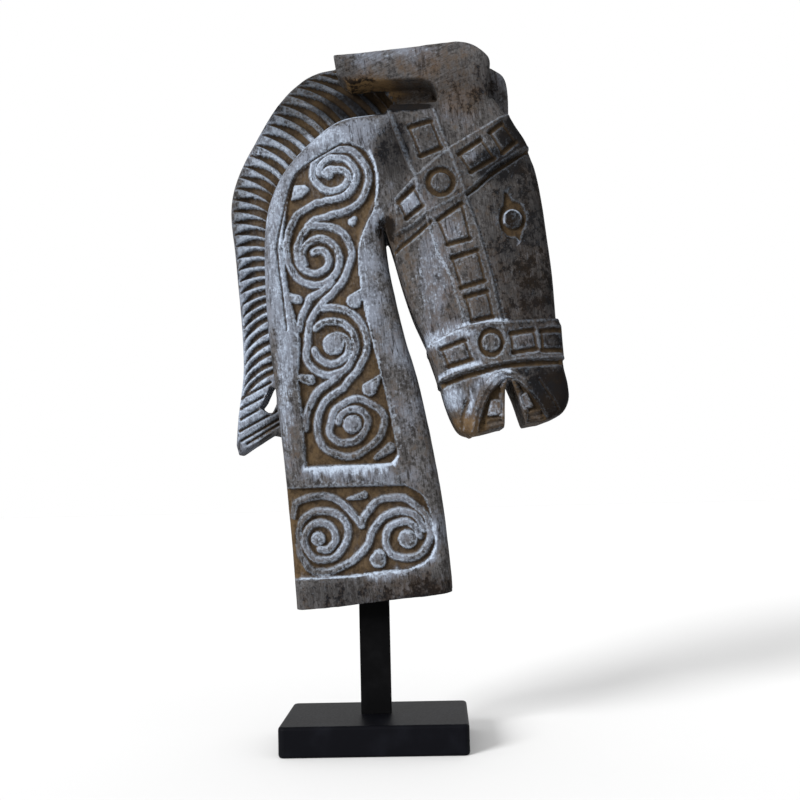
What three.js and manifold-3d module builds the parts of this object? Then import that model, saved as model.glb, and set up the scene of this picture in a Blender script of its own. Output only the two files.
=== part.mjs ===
// A horse head carved from one piece of driftwood, on a flat bar and a slab base.
// Millimetres, +Z up, +X towards the nose, the carved faces square to Y.
import * as THREE from "three";
import { mergeVertices } from "three/addons/utils/BufferGeometryUtils.js";
import ManifoldModule from "manifold-3d";

// Stand
const baseSize = { width: 121, depth: 82, height: 19.4, corner: 4, round: 2.5 };
const postSize = { width: 20, depth: 8 };
const gap = 0.3;

// Half thickness and edge rounding of each mass of the carving
const neck = { half: 32, round: 8 };
const face = { half: 33.5, round: 9 };
const ears = { half: 33, round: 3 };
const mane = { half: 11, round: 3 };
const earSlot = { half: 9, floor: 457.7 };

// Depths of the carving below or above the faces
const strapRise = 1.6;
const panelDepth = 2.6;
const grooveDepth = 2;
const ridgeWidth = 4.2;

// Degrees that a ridge turns between its points, on the shown side and on the plainer far side,
// and the fewest stops of a ridge that the far side has too
const ridgeStep = { near: 34, far: 52 };
const farStops = 7;

// The neck, from its slanted foot up the throat, under the ear and down the back
const footLine = { left: [-47.8, 91], mid: [-27, 92.2], right: [53, 100.2] };
const footDrop = 9;
const throatEdge = [[52.2, 108], [49.8, 136.7], [46, 170], [41.3, 197.3], [35.2, 229], [24.3, 271.6],
  [15.5, 314.6], [12.5, 339]];
const napeEdge = [[13, 418], [-11, 415.5], [-27, 406.5], [-49, 385], [-62, 361], [-66.5, 330], [-65, 275],
  [-57, 201], [-50.5, 119]];

// The face, from the forehead down the nose, under the muzzle and up the jaw
const noseEdge = [[108.6, 393.7], [115.3, 373.1], [118.9, 349.4], [123, 312.3], [124.8, 284], [126.6, 258],
  [131.4, 232.4], [126, 213.5], [114, 208.6]];
const jawEdge = [[71.7, 202.3], [59.5, 204.5], [50.5, 224.7], [45.4, 244.4], [38.6, 264.7], [30, 285],
  [23.6, 305.3], [18.4, 325.6], [12, 347]];

// The ear laid back over its notch
const notchEnd = [[50.3, 423.5], [51, 430], [47.9, 435.4], [41.4, 438.6]];
const earTop = [[12, 459.6], [54, 462.8], [66, 463.5], [76, 460.9], [84, 454.8], [86.8, 448], [84.5, 431],
  [86, 415]];

// The mane, from the forelock back over the crest and down to its pointed tail
const forelock = [[96.4, 446.9], [99.2, 437], [99.4, 422.2], [98.4, 407.3]];
const maneTail = [-89.8, 199];
const maneEdge = [[-88.2, 220], [-84.7, 250], [-85.5, 285], [-88.4, 321], [-91.5, 357], [-87.3, 381],
  [-75.3, 404.7], [-58.4, 432.1], [-41.5, 448.5], [-29.1, 454.4], [-18.7, 456]];
const maneHole = [[-66, 238.5], [-62, 236], [-62, 226], [-65, 220], [-69, 220.5], [-74, 224], [-71, 228]];
const maneLocks = { count: 33, width: 4.8, depth: 3.2, inset: 2 };

// Carved straps of the bridle, each by its two edges
const straps = {
  cheek: {
    left: [[19.5, 416], [34, 376], [41, 350], [48, 322], [57, 304], [67, 266]],
    right: [[48.6, 417], [54.4, 399], [66, 365], [75, 336], [83.5, 304], [90, 266]],
  },
  brow: {
    left: [[22, 357], [36, 372.5], [59, 391], [91, 409], [104, 416]],
    right: [[22, 334], [33, 339.5], [42, 347.5], [69.5, 361], [87, 376.5], [118, 395]],
  },
  nose: {
    left: [[36, 257], [55, 266.5], [68, 271.5], [81, 273], [106, 274], [138, 275]],
    right: [[42, 233.5], [62, 241.8], [79, 246.3], [104, 249.6], [140, 249.8]],
  },
};

// Grooves under the straps: width and route
const underlines = [
  { width: 2.6, route: [[68.9, 359.3], [84.3, 371.2], [116, 391.5]] },
  { width: 3.4, route: [[18, 320.5], [32.8, 331.5], [45, 342]] },
  { width: 3.6, route: [[40, 230], [61.9, 238.2], [90.9, 245.2], [136, 247.4]] },
];

// Framed squares on the straps, by the corners of the groove round each pad
const squareLine = 2.2;
const squares = [
  [[32, 405.3], [39.1, 385.6], [52.8, 390.9], [46.5, 409.2]],
  [[49.4, 342.6], [55.3, 326.1], [69.8, 329.3], [65.1, 352.8]],
  [[58.1, 316.8], [63.4, 297], [78.7, 301.3], [74.4, 321.7]],
  [[66, 291], [69.6, 274.6], [83.3, 277.4], [79.9, 294.3]],
  [[64.4, 385.8], [71.8, 373.6], [87.3, 382.1], [78.8, 395]],
  [[85.2, 399.5], [93, 385.6], [101.4, 392.6], [92.9, 405.3]],
  [[23.8, 354.8], [28.8, 344], [39.5, 352.3], [33.9, 364.5]],
  [[49.4, 257.1], [54, 245.7], [68.6, 249.8], [64.3, 262.5]],
  [[94.5, 265.9], [95.8, 253.4], [110.8, 255.5], [109.2, 267.8]],
  [[114.3, 267], [114.9, 254.5], [129, 254.4], [128.5, 267.8]],
];

// Round bosses and the eye: centre, radius of the knob, outer half width and half height of its groove
const rounds = [
  { at: [51.9, 367.6], knob: 6.3, wide: 9.8, high: 9.8 },
  { at: [81.8, 260.6], knob: 6, wide: 8.4, high: 9.6 },
  { at: [98.2, 341.4], knob: 6, wide: 8.6, high: 11.2 },
];

// Mouth: the slit between the lips, the arched recess around it and the teeth in that
const mouthSlit = [[104.5, 195], [102.9, 210], [98, 226], [94, 236.5], [91.5, 236.5], [89.8, 230], [89, 207],
  [88.7, 195]];
const mouthArch = [[74.2, 216.3], [79.2, 227.3], [90.6, 237.7], [98, 235.6], [106.1, 228.9], [113.1, 219.4],
  [118.5, 205]];
const teeth = [
  [[77.8, 212.5], [80.5, 223.5], [88.4, 224.3], [89.1, 213.6]],
  [[99.2, 216.5], [96.5, 225.9], [104.2, 228], [108.9, 218.1]],
];
const mouthDepth = 5;

// Sunk fields of the scrollwork, the tall one on the neck and the band round its foot
const fieldBack = [[-21, 393], [-34.3, 384.7], [-43.5, 374], [-50, 359], [-54.8, 326], [-47, 280],
  [-43.8, 222], [-42, 182]];
const fieldFront = [[15.5, 215], [11.4, 235], [3.1, 271], [-0.8, 291], [-3.4, 314.5], [-2.6, 328], [3, 343],
  [8.3, 354], [9.4, 371], [8, 382.5], [2, 392.5], [-7, 396.6]];
const bandEnd = [[33.4, 164.4], [38.6, 155.3], [42.4, 134.3], [41, 127], [35.8, 120], [23.8, 114.7]];

// Centres of the spirals: four on the neck, two in the band
const spirals = {
  a: [-20.5, 375.5],
  b: [-30.7, 319.8],
  c: [-21.1, 263.1],
  d: [-10.5, 209.5],
  e: [-32.4, 136],
  f: [24.8, 134.5],
};

// Each ridge runs through the spirals named, by turning angle and radius. The angle is in degrees,
// clockwise as seen from the shown side, with 0 on the left and 90 at the top.
const ridges = [
  [["a", 16, 4.5], ["a", 121, 4.2], ["a", 190, 12], ["a", 247, 10.5], ["a", 317, 10.4], ["a", 373, 13.8],
    ["a", 420, 13.8], ["a", 452, 15.5], ["a", 502, 22.3], ["a", 549, 25], ["a", 597, 26.1], ["a", 629, 26.2],
    ["a", 650, 31.3], ["b", 74, 22], ["b", 60, 19.4], ["b", 44, 16.6], ["b", 0, 13], ["b", -60, 10.4],
    ["b", -120, 8.4], ["b", -204, 7], ["b", -301, 5]],
  [["a", 12, 8], ["a", 45, 9.7], ["a", 106, 12.4], ["a", 136, 14.9], ["a", 179, 16.6], ["a", 258, 16.3],
    ["a", 283, 17.1], ["a", 300, 21], ["a", 311, 32.8], ["b", 56, 29.1], ["b", 35, 24.3], ["b", 6, 20.1],
    ["b", -27, 18.2], ["b", -80, 17.9], ["b", -125, 16.2], ["b", -180, 14.5], ["b", -255, 13.9],
    ["b", -308, 12], ["b", -380, 9.2]],
  [["b", 92, 22], ["b", 136, 24.2], ["b", 166, 23.3], ["b", 203, 21.3], ["b", 238, 23.4], ["b", 261, 28.3],
    ["c", 74, 26.8], ["c", 53, 22.3], ["c", 24, 18.2], ["c", 3, 17], ["c", -37, 20.8], ["c", -71, 21.3],
    ["c", -104, 19.1], ["c", -143, 15.6], ["c", -190, 14.4], ["c", -268, 15], ["c", -318, 15.6]],
  [["b", 239, 18.1], ["b", 256, 20.5], ["b", 280, 26.1], ["c", 57, 30.9], ["c", 37, 26.8], ["c", 25, 25]],
  [["c", -17, 13.3], ["c", -80, 13.4], ["c", -125, 12], ["c", -170, 10.3], ["c", -250, 6]],
  [["c", 75, 24.5], ["c", 113, 23.6], ["c", 170, 22], ["c", 212, 22.2], ["c", 240, 24.7], ["c", 267, 31.7],
    ["d", 46, 22.6], ["d", 9, 22], ["d", -35, 23.1], ["d", -69, 21.2], ["d", -127, 18.8], ["d", -170, 20.9]],
  [["c", 254, 18.9], ["c", 269, 22.9], ["c", 281, 27], ["d", 49, 31.1], ["d", 18, 29.9], ["d", -4, 29.8]],
  [["d", 190, 20.9], ["d", 167, 22.3], ["d", 128, 18.5], ["d", 62, 14.7], ["d", 8, 13.1], ["d", -20, 15.2],
    ["d", -56, 13.7], ["d", -80, 11.5], ["d", -150, 9.6], ["d", -214, 11.4], ["d", -300, 9.5],
    ["d", -345, 8.6]],
  [["e", 174, 10.2], ["e", 127, 11], ["e", 22, 9.9], ["e", -34, 10.5], ["e", -87, 13.1], ["e", -152, 15.7],
    ["e", -217, 20.2], ["e", -272, 18.2], ["e", -316, 16.3], ["e", -357, 13.6], ["e", -407, 16.6],
    ["e", -440, 20.9], ["e", -485, 22.7], ["e", -513, 26.3], ["f", 1, 24.9], ["f", 33, 21.8], ["f", 64, 20.1],
    ["f", 95, 17.3], ["f", 145, 12.1]],
  [["e", 42, 23.5], ["e", 55, 27.9], ["e", 107, 27.9], ["e", 142, 26.9], ["e", 163, 28.4]],
  [["f", 20, 32.2], ["f", 50, 32], ["f", 76, 28.3], ["f", 117, 20.7], ["f", 153, 15.3], ["f", 207, 12],
    ["f", 263, 11.5], ["f", 347, 14.7], ["f", 389, 14.3], ["f", 439, 11.9], ["f", 493, 8.6], ["f", 520, 7.4]],
];

// Round leaves and eyes of the spirals between the ridges: centre and radius
const beads = [
  { at: [-21.1, 263.1], radius: 6.5 },
  { at: [-10.5, 209.5], radius: 5.5 },
  { at: [-33.1, 136.7], radius: 5 },
  { at: [24.6, 135.1], radius: 5 },
  { at: [-41, 365], radius: 4 },
  { at: [-7.2, 344.1], radius: 2.8 },
  { at: [-6.5, 293.4], radius: 5 },
  { at: [-46, 294], radius: 3.2 },
  { at: [3.6, 235.2], radius: 5.6 },
  { at: [-39.5, 240], radius: 4.4 },
  { at: [10.5, 190], radius: 4.2 },
  { at: [5.1, 122.1], radius: 5.4 },
  { at: [-5.1, 163], radius: 3.2 },
];

const { Manifold, Mesh } = await ManifoldModule().then((library) => {
  library.setup();
  return library;
});

// A closed three.js geometry as a solid that can be joined and cut
function solid(geometry) {
  const bare = new THREE.BufferGeometry();
  bare.setAttribute("position", geometry.getAttribute("position"));
  bare.setIndex(geometry.getIndex());
  const merged = mergeVertices(bare, 1e-4);
  return new Manifold(new Mesh({
    numProp: 3,
    vertProperties: new Float32Array(merged.getAttribute("position").array),
    triVerts: new Uint32Array(merged.getIndex().array),
  }));
}

// A finished solid as a three.js geometry with flat facets
function facets(body) {
  const mesh = body.getMesh();
  const geometry = new THREE.BufferGeometry();
  geometry.setAttribute("position", new THREE.BufferAttribute(mesh.vertProperties, 3));
  geometry.setIndex(new THREE.BufferAttribute(mesh.triVerts, 1));
  const flat = geometry.toNonIndexed();
  flat.computeVertexNormals();
  return flat;
}

// An outline in X and Z from runs of straight lines and of curves through points
function outline(start, ...runs) {
  const shape = new THREE.Shape();
  shape.moveTo(...start);
  for (const run of runs) {
    if (run.curve) {
      shape.splineThru(run.curve.map(([x, z]) => new THREE.Vector2(x, z)));
    } else {
      run.line.forEach(([x, z]) => shape.lineTo(x, z));
    }
  }
  return shape;
}

function polygon(points) {
  return outline(points[0], { line: points.slice(1) });
}

// An outline carried along Y between two depths
function prism(shape, yNear, yFar, curveSegments = 2) {
  const geometry = new THREE.ExtrudeGeometry(shape, {
    depth: yFar - yNear,
    bevelEnabled: false,
    curveSegments,
  });
  geometry.rotateX(Math.PI / 2);
  geometry.translate(0, yFar, 0);
  return solid(geometry);
}

// An outline as a slab about the mid plane with rounded edges, grown outwards if asked
function slab(shape, { half, round }, grow = 0, segments = 3) {
  const flat = half - round;
  const geometry = new THREE.ExtrudeGeometry(shape, {
    depth: 2 * flat,
    bevelEnabled: true,
    bevelThickness: round + grow,
    bevelSize: round,
    bevelOffset: grow - round,
    bevelSegments: segments,
    curveSegments: 2,
  });
  geometry.rotateX(Math.PI / 2);
  geometry.translate(0, flat, 0);
  return solid(geometry);
}

// The same cutter at both faces: from a depth below the face to well clear of it
function atBothFaces(shape, half, depth) {
  const clear = half + 8;
  const near = prism(shape, -clear, depth - half, 5);
  const far = prism(shape, half - depth, clear, 4);
  return near.add(far);
}

function circle([x, z], wide, high = wide) {
  const shape = new THREE.Shape();
  shape.absellipse(x, z, wide, high, 0, 2 * Math.PI, false, 0);
  return shape;
}

// A four-cornered outline with its corners moved away from its middle
function quad(corners, grow) {
  const points = corners.map(([x, z]) => new THREE.Vector2(x, z));
  const middle = points.reduce((sum, point) => sum.addScaledVector(point, 0.25), new THREE.Vector2());
  return polygon(points.map((point) => {
    const away = point.clone().sub(middle).setLength(grow * Math.SQRT2);
    return point.clone().add(away).toArray();
  }));
}

// A band of even width along a path
function ribbon(points, width) {
  const sides = [1, -1].map((side) => points.map((point, i) => {
    const before = points[Math.max(i - 1, 0)];
    const after = points[Math.min(i + 1, points.length - 1)];
    const across = after.clone().sub(before).normalize().rotateAround(new THREE.Vector2(), Math.PI / 2);
    return point.clone().addScaledVector(across, side * width / 2).toArray();
  }));
  return polygon([...sides[0], ...sides[1].reverse()]);
}

// The points of one spiral's share of a ridge, the radius changing evenly between the stops
function spiralLeg(stops) {
  return stops.flatMap(([name, angle, radius], i) => {
    const [, nextAngle, nextRadius] = stops[i + 1] ?? stops[i];
    const pieces = Math.max(Math.round(Math.abs(nextAngle - angle) / 10), 1);
    return Array.from({ length: pieces }, (_, k) => {
      const bend = THREE.MathUtils.degToRad(THREE.MathUtils.lerp(angle, nextAngle, k / pieces));
      const reach = THREE.MathUtils.lerp(radius, nextRadius, THREE.MathUtils.smoothstep(k / pieces, 0, 1));
      const [x, z] = spirals[name];
      return new THREE.Vector2(x - reach * Math.cos(bend), z + reach * Math.sin(bend));
    });
  });
}

// An even bend that leaves one leg and enters the next along their own directions
function bendBetween(leg, next) {
  const start = leg.at(-1);
  const end = next[0];
  const span = start.distanceTo(end) / 3;
  const leave = start.clone().sub(leg.at(-2)).setLength(span).add(start);
  const enter = end.clone().sub(next[1]).setLength(span).add(end);
  return new THREE.CubicBezierCurve(start, leave, enter, end).getPoints(6).slice(1, -1);
}

// A ridge's middle line, with a point wherever it has turned by the step asked
function ridgePath(stops, turnStep) {
  const names = [...new Set(stops.map(([name]) => name))];
  const legs = names.map((name) => spiralLeg(stops.filter((stop) => stop[0] === name)));
  const path = legs.flatMap((leg, i) => (i === 0 ? leg : [...bendBetween(legs[i - 1], leg), ...leg]));
  let turned = 0;
  return path.filter((point, i) => {
    if (i === 0 || i === path.length - 1) {
      return true;
    }
    const before = point.clone().sub(path[i - 1]);
    const after = path[i + 1].clone().sub(point);
    turned += THREE.MathUtils.radToDeg(Math.abs(Math.atan2(before.cross(after), before.dot(after))));
    if (turned < turnStep) {
      return false;
    }
    turned = 0;
    return true;
  });
}

// Neck, face, ears and mane
const footBelow = footLine.left[1] - footDrop;
const neckShape = outline(
  [footLine.left[0] - 0.6, footBelow],
  { line: [[footLine.right[0], footBelow], throatEdge[0]] },
  { curve: throatEdge.slice(1) },
  { line: [[24, 352], [46, 372], [46, 400], [32, 418]] },
  { curve: napeEdge },
);
const faceShape = outline(
  jawEdge.at(-1),
  { line: [[27, 376], [13, 415], [20, 424], [88, 426], [98.5, 411.5]] },
  { curve: noseEdge },
  { line: [[101, 207], [87, 205.5]] },
  { curve: jawEdge },
);
const earShape = outline(
  [32, 404],
  { line: [[36, 417.5], [44.8, 419]] },
  { curve: notchEnd },
  { line: [[4, 438.2], [-6.3, 436.5], [-15.5, 443.7], [-17.6, 457.3]] },
  { curve: earTop },
  { line: [[88, 398], [60, 392]] },
);
const maneShape = outline(
  [88, 453.4],
  { curve: forelock },
  { line: [[60, 404], [12, 404], [-20, 394], [-45, 365], [-52, 330], [-50, 275], [-46, 203], [-60, 204.2],
    [-66, 206], [-88, 192], maneTail] },
  { curve: maneEdge },
);

function maneLockCutters() {
  const outer = new THREE.SplineCurve([maneTail, ...maneEdge].map(([x, z]) => new THREE.Vector2(x, z)));
  const inner = new THREE.SplineCurve(napeEdge.map(([x, z]) => new THREE.Vector2(x, z))).getPoints(60);
  const cutters = [];
  for (let i = 0; i < maneLocks.count; i += 1) {
    const start = outer.getPointAt((i + 0.35) / maneLocks.count);
    const rise = THREE.MathUtils.clamp((330 - start.y) / 60, -1, 1) * 38;
    const slope = THREE.MathUtils.degToRad(start.y > 330 ? rise * 0.9 : rise);
    const along = new THREE.Vector2(Math.cos(slope), Math.sin(slope));
    const near = inner.map((point) => {
      const offset = point.clone().sub(start);
      return { reach: offset.dot(along), miss: Math.abs(offset.cross(along)) };
    });
    const length = near.reduce((best, item) => (item.miss < best.miss ? item : best)).reach + 3;
    const middle = start.clone().addScaledVector(along, maneLocks.inset + length / 2);
    for (const side of [-1, 1]) {
      const lock = new THREE.OctahedronGeometry(1);
      lock.scale(length / 2, maneLocks.depth, maneLocks.width / 2);
      lock.rotateY(-slope);
      lock.translate(middle.x, side * mane.half, middle.y);
      cutters.push(solid(lock));
    }
  }
  return cutters;
}

function strapBands() {
  const grown = slab(faceShape, face, strapRise);
  const outlines = Object.values(straps).map(({ left, right }) => polygon([...left, ...right.toReversed()]));
  return outlines.map((shape) => grown.intersect(prism(shape, -60, 60)));
}

function bridleGrooves() {
  const surface = face.half + strapRise;
  const frames = squares.map((corners) => {
    const shape = quad(corners, squareLine / 2);
    shape.holes.push(quad(corners, -squareLine / 2));
    return atBothFaces(shape, surface, grooveDepth + strapRise);
  });
  const rings = rounds.map(({ at, knob, wide, high }) => {
    const shape = circle(at, wide, high);
    shape.holes.push(circle(at, knob));
    return atBothFaces(shape, surface, grooveDepth + strapRise);
  });
  const lines = underlines.map(({ width, route }) => {
    const shape = ribbon(route.map(([x, z]) => new THREE.Vector2(x, z)), width);
    return atBothFaces(shape, face.half, grooveDepth);
  });
  return [...frames, ...rings, ...lines];
}

function mouthCutters() {
  const arch = outline([71, 195], { line: [[71.4, 203]] }, { curve: mouthArch }, { line: [[120, 195]] });
  const recess = atBothFaces(arch, face.half, mouthDepth);
  const blocks = teeth.map((tooth) => prism(polygon(tooth), 2.5 - face.half, face.half - 2.5));
  return [recess.subtract(Manifold.union(blocks)), prism(polygon(mouthSlit), -60, 60)];
}

// Everything sunk around the ridges and beads, at one face or the other
function scrollCutter(side, turnStep, fewestStops) {
  const field = outline(fieldFront.at(-1), { curve: fieldBack }, { line: [[16, 182.8], [19.5, 190]] },
    { curve: fieldFront });
  const band = outline([-56, 169.5], { line: [[-56, 109.4], [-10, 111.3], [7.4, 114.4], [23.8, 114.7]] },
    { curve: bandEnd.toReversed().slice(1) }, { line: [[23, 170.2]] });
  const floor = panelDepth - neck.half;
  const depths = side < 0 ? [-neck.half - 5, floor] : [-floor, neck.half + 5];
  const past = side < 0 ? [-neck.half - 8, floor + 1] : [-floor - 1, neck.half + 8];
  const sunk = [field, band].map((shape) => prism(shape, ...depths));
  const shown = ridges.filter((stops) => stops.length >= fewestStops);
  const bands = shown.map((stops) => prism(ribbon(ridgePath(stops, turnStep), ridgeWidth), ...past));
  const knobs = beads.map(({ at, radius }) => prism(circle(at, radius), ...past, 4));
  return Manifold.union(sunk).subtract(Manifold.union([...bands, ...knobs]));
}

function carvedHead() {
  const slotShape = polygon([[-30, 475], [-30, earSlot.floor], [90, earSlot.floor], [90, 475]]);
  const crown = slab(earShape, ears, 0, 2).subtract(prism(slotShape, -earSlot.half, earSlot.half));
  const crest = slab(maneShape, mane, 0, 2).subtract(prism(polygon(maneHole), -60, 60));
  const { left, mid, right } = footLine;
  const footCut = polygon([[-80, 60], [-80, 89], left, mid, right, [80, 103], [80, 60]]);
  const masses = Manifold.union([
    slab(neckShape, neck).subtract(prism(footCut, -60, 60)),
    slab(faceShape, face),
    crown,
    crest.subtract(Manifold.union(maneLockCutters())),
    ...strapBands(),
  ]);
  const cutters = [
    ...bridleGrooves(),
    ...mouthCutters(),
    scrollCutter(-1, ridgeStep.near, 0),
    scrollCutter(1, ridgeStep.far, farStops),
  ];
  return facets(masses.subtract(Manifold.union(cutters)));
}

// The bar, its top cut to the slant of the foot
function postBar() {
  const slope = (footLine.right[1] - footLine.mid[1]) / (footLine.right[0] - footLine.mid[0]);
  const topAt = (x) => footLine.mid[1] + slope * (x - footLine.mid[0]) - gap;
  const halfWide = postSize.width / 2;
  const foot = baseSize.height + gap;
  const shape = polygon([[-halfWide, foot], [halfWide, foot], [halfWide, topAt(halfWide)],
    [-halfWide, topAt(-halfWide)]]);
  return facets(prism(shape, -postSize.depth / 2, postSize.depth / 2));
}

// The slab, with rounded corners and softened edges
function baseSlab() {
  const { width, depth, height, corner, round } = baseSize;
  const halfWide = width / 2;
  const halfDeep = depth / 2;
  const shape = new THREE.Shape();
  shape.absarc(halfWide - corner, halfDeep - corner, corner, 0, Math.PI / 2);
  shape.absarc(corner - halfWide, halfDeep - corner, corner, Math.PI / 2, Math.PI);
  shape.absarc(corner - halfWide, corner - halfDeep, corner, Math.PI, 1.5 * Math.PI);
  shape.absarc(halfWide - corner, corner - halfDeep, corner, 1.5 * Math.PI, 2 * Math.PI);
  const geometry = new THREE.ExtrudeGeometry(shape, {
    depth: height - 2 * round,
    bevelThickness: round,
    bevelSize: round,
    bevelOffset: -round,
    bevelSegments: 2,
    curveSegments: 2,
  });
  geometry.translate(0, 0, round);
  return facets(solid(geometry));
}

function piece(name, geometry, color, roughness, metalness) {
  const material = new THREE.MeshStandardMaterial({ color, roughness, metalness, flatShading: true });
  const mesh = new THREE.Mesh(geometry, material);
  mesh.name = name;
  return mesh;
}

const horseHead = new THREE.Group();
horseHead.add(
  piece("carved_head", carvedHead(), 0x6f6a66, 0.85, 0),
  piece("post", postBar(), 0x17181a, 0.6, 0.4),
  piece("base", baseSlab(), 0x1b1d22, 0.5, 0),
);

export default horseHead;
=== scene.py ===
import bpy
import bmesh
import math
import numpy as np
from mathutils import Matrix, Vector


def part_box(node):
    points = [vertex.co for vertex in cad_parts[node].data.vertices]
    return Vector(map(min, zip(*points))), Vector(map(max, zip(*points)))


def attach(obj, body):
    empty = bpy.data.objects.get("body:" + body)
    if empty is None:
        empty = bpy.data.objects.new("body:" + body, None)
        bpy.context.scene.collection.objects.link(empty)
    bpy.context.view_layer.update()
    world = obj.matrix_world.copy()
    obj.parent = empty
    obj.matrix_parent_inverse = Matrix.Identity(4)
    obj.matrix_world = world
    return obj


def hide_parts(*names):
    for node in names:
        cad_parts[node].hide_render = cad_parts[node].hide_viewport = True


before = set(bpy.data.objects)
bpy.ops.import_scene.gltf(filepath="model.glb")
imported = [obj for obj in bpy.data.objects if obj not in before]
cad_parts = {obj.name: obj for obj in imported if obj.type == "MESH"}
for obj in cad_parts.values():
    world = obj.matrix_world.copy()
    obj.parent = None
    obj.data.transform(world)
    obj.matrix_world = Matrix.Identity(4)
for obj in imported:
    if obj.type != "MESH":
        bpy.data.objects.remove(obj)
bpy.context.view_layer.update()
mm = 0.001

# sizes below are in millimetres, x towards the nose, z up, the carved faces square to y


def curveThrough(points, perSpan=4):
    knots = [points[0], *points, points[-1]]
    path = []
    for i in range(1, len(knots) - 2):
        p0, p1, p2, p3 = (np.array(knots[i + k], float) for k in (-1, 0, 1, 2))
        for k in range(perSpan):
            t = k / perSpan
            bend = (2 * p1 + (p2 - p0) * t + (2 * p0 - 5 * p1 + 4 * p2 - p3) * t ** 2
                    + (3 * p1 - p0 - 3 * p2 + p3) * t ** 3) / 2
            path.append(tuple(bend))
    path.append(tuple(points[-1]))
    return path


def outline(start, *runs):  # runs are ("line", points) or ("curve", points)
    path = [start]
    for kind, points in runs:
        if kind == "curve":
            path += curveThrough([path[-1], *points])[1:]
        else:
            path += points
    return path


# flat sheet of an outline, thickened and rounded by stepped insets of both caps
def makeSlab(bm, path, half, rounding, steps=5):
    flat = half - rounding
    ring = [bm.verts.new((x * mm, -flat * mm, z * mm)) for x, z in path]
    near = bm.faces.new(ring)
    grown = bmesh.ops.extrude_face_region(bm, geom=[near], use_keep_orig=True)["geom"]
    far = next(item for item in grown if isinstance(item, bmesh.types.BMFace))
    moved = [item for item in grown if isinstance(item, bmesh.types.BMVert)]
    bmesh.ops.translate(bm, verts=moved, vec=(0, 2 * flat * mm, 0))
    bmesh.ops.recalc_face_normals(bm, faces=bm.faces)
    turns = [math.pi / 2 * k / steps for k in range(steps + 1)]
    for cap in (near, far):
        for low, high in zip(turns, turns[1:]):
            bmesh.ops.inset_region(
                bm, faces=[cap], use_even_offset=True, use_boundary=True,
                thickness=rounding * mm * (math.cos(low) - math.cos(high)),
                depth=rounding * mm * (math.sin(high) - math.sin(low)))
    return bm


def slabObject(name, path, half, rounding):
    bm = makeSlab(bmesh.new(), path, half, rounding)
    return meshObject(name, bm)


def meshObject(name, bm):
    mesh = bpy.data.meshes.new(name)
    bm.to_mesh(mesh)
    bm.free()
    piece = bpy.data.objects.new(name, mesh)
    bpy.context.scene.collection.objects.link(piece)
    return piece


def prismObject(name, path, yNear, yFar):
    bm = bmesh.new()
    ring = [bm.verts.new((x * mm, yNear * mm, z * mm)) for x, z in path]
    face = bm.faces.new(ring)
    grown = bmesh.ops.extrude_face_region(bm, geom=[face], use_keep_orig=True)["geom"]
    moved = [item for item in grown if isinstance(item, bmesh.types.BMVert)]
    bmesh.ops.translate(bm, verts=moved, vec=(0, (yFar - yNear) * mm, 0))
    bmesh.ops.recalc_face_normals(bm, faces=bm.faces)
    return meshObject(name, bm)


def applied(piece):  # the object's mesh with its modifiers carried out
    graph = bpy.context.evaluated_depsgraph_get()
    return bpy.data.meshes.new_from_object(piece.evaluated_get(graph))


def discard(piece):
    mesh = piece.data
    bpy.data.objects.remove(piece)
    bpy.data.meshes.remove(mesh)


def cutAway(piece, cutter):
    cut = piece.modifiers.new("cut", "BOOLEAN")
    cut.operation = "DIFFERENCE"
    cut.solver = "EXACT"
    cut.object = cutter
    old = piece.data
    piece.data = applied(piece)
    piece.modifiers.clear()
    bpy.data.meshes.remove(old)
    discard(cutter)


masses = {
    "neckHalf": 32, "neckRound": 8,
    "faceHalf": 33.5, "faceRound": 9,
    "earHalf": 33, "earRound": 2.4,
    "maneHalf": 11, "maneRound": 3,
    "slotHalf": 9, "slotFloor": 457.7, "slotTop": 480, "slotEnds": (-30, 90),  # between the ears
    "cutUnder": 60, "cutHalf": 60,  # the cutters reach past the wood
    "voxel": 0.78, "ease": 0.5, "easeRounds": 3,
    "triangles": 190000,
}

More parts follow.
